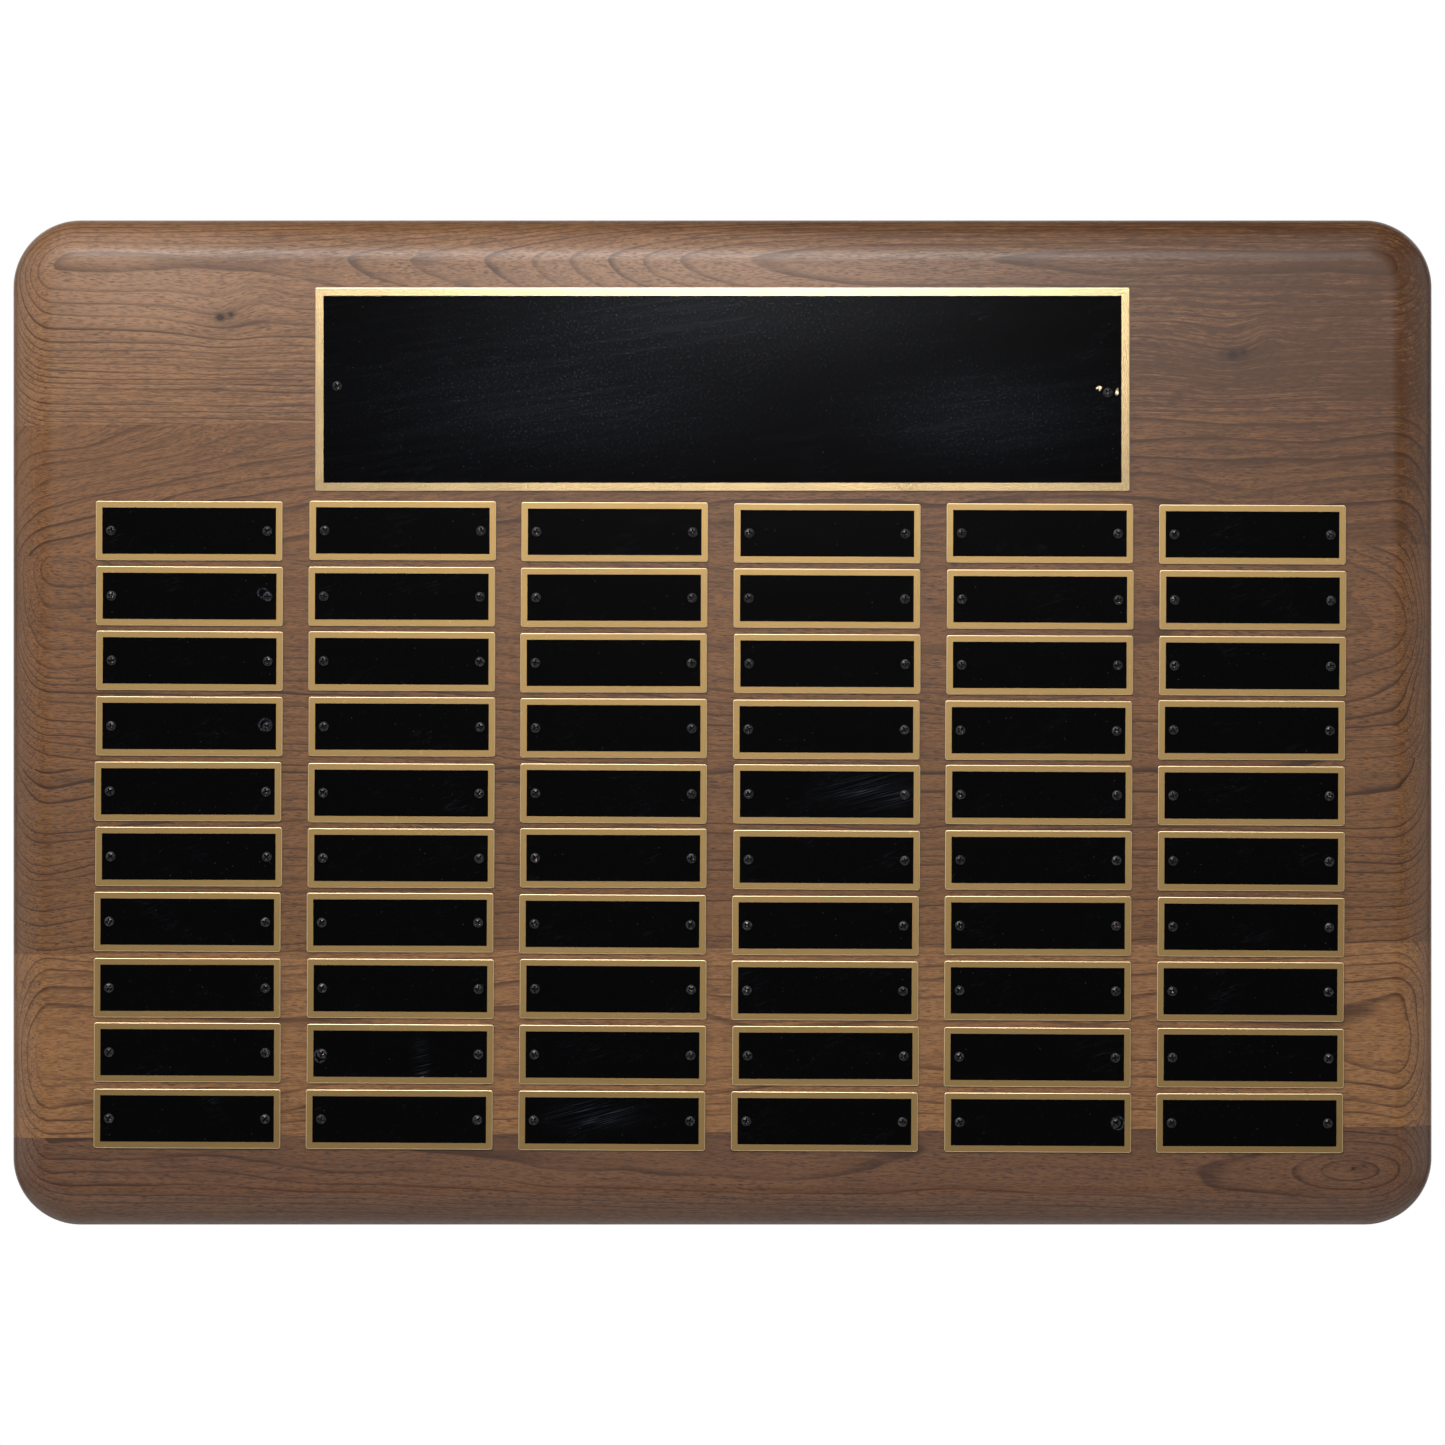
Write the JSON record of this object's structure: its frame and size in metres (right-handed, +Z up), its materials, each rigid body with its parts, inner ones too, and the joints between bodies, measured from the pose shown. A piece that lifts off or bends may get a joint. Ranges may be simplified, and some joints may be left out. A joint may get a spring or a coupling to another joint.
{
  "type": "perpetual award plaque",
  "caption": "Wall-hung walnut board with rounded corners, a wide header plate and a grid of small blank name plates, all black with gold borders.",
  "frame": {"origin": "centre of the board's back face, which lies against the wall", "axes": "+X to the right as seen from the front, +Z up, +Y into the wall; the face with the plates looks along -Y"},
  "size_m": [0.5334, 0.0242, 0.3778],
  "materials": {
    "walnut": "satin",
    "dark_walnut": "satin",
    "lacquered_brass": "satin",
    "black_steel": "satin",
    "zinc_steel": "satin"
  },
  "bodies": {
    "root": {"stave_1": "walnut", "stave_2": "walnut", "stave_3": "walnut", "stave_4": "walnut", "stave_5": "walnut", "stave_6": "dark_walnut", "header_plate": "lacquered_brass", "header_screw_left": "black_steel", "header_screw_right": "black_steel", "name_plate_r01_c1": "lacquered_brass", "name_plate_r01_c2": "lacquered_brass", "name_plate_r01_c3": "lacquered_brass", "name_plate_r02_c1": "lacquered_brass", "name_plate_r02_c2": "lacquered_brass", "name_plate_r02_c3": "lacquered_brass", "name_plate_r03_c1": "lacquered_brass", "name_plate_r03_c2": "lacquered_brass", "name_plate_r03_c3": "lacquered_brass", "name_plate_r04_c1": "lacquered_brass", "name_plate_r04_c2": "lacquered_brass", "name_plate_r04_c3": "lacquered_brass", "name_plate_r05_c1": "lacquered_brass", "name_plate_r05_c2": "lacquered_brass", "name_plate_r05_c3": "lacquered_brass", "name_plate_r06_c1": "lacquered_brass", "name_plate_r06_c2": "lacquered_brass", "name_plate_r06_c3": "lacquered_brass", "name_plate_r07_c1": "lacquered_brass", "name_plate_r07_c2": "lacquered_brass", "name_plate_r07_c3": "lacquered_brass", "name_plate_r08_c1": "lacquered_brass", "name_plate_r08_c2": "lacquered_brass", "name_plate_r08_c3": "lacquered_brass", "name_plate_r09_c1": "lacquered_brass", "name_plate_r09_c2": "lacquered_brass", "name_plate_r09_c3": "lacquered_brass", "name_plate_r10_c1": "lacquered_brass", "name_plate_r10_c2": "lacquered_brass", "name_plate_r10_c3": "lacquered_brass", "name_plates_r01_r02_c4": "lacquered_brass", "name_plates_r01_r02_c5": "lacquered_brass", "name_plates_r01_r02_c6": "lacquered_brass", "name_plates_r03_r04_c4": "lacquered_brass", "name_plates_r03_r04_c5": "lacquered_brass", "name_plates_r03_r04_c6": "lacquered_brass", "name_plates_r05_r06_c4": "lacquered_brass", "name_plates_r05_r06_c5": "lacquered_brass", "name_plates_r05_r06_c6": "lacquered_brass", "name_plates_r07_r08_c4": "lacquered_brass", "name_plates_r07_r08_c5": "lacquered_brass", "name_plates_r07_r08_c6": "lacquered_brass", "name_plates_r09_r10_c4": "lacquered_brass", "name_plates_r09_r10_c5": "lacquered_brass", "name_plates_r09_r10_c6": "lacquered_brass", "hanger_left": "zinc_steel", "hanger_screw_left_upper": "zinc_steel", "hanger_screw_left_lower": "zinc_steel", "hanger_right": "zinc_steel", "hanger_screw_right_upper": "zinc_steel", "hanger_screw_right_lower": "zinc_steel"}
  },
  "joints": []
}
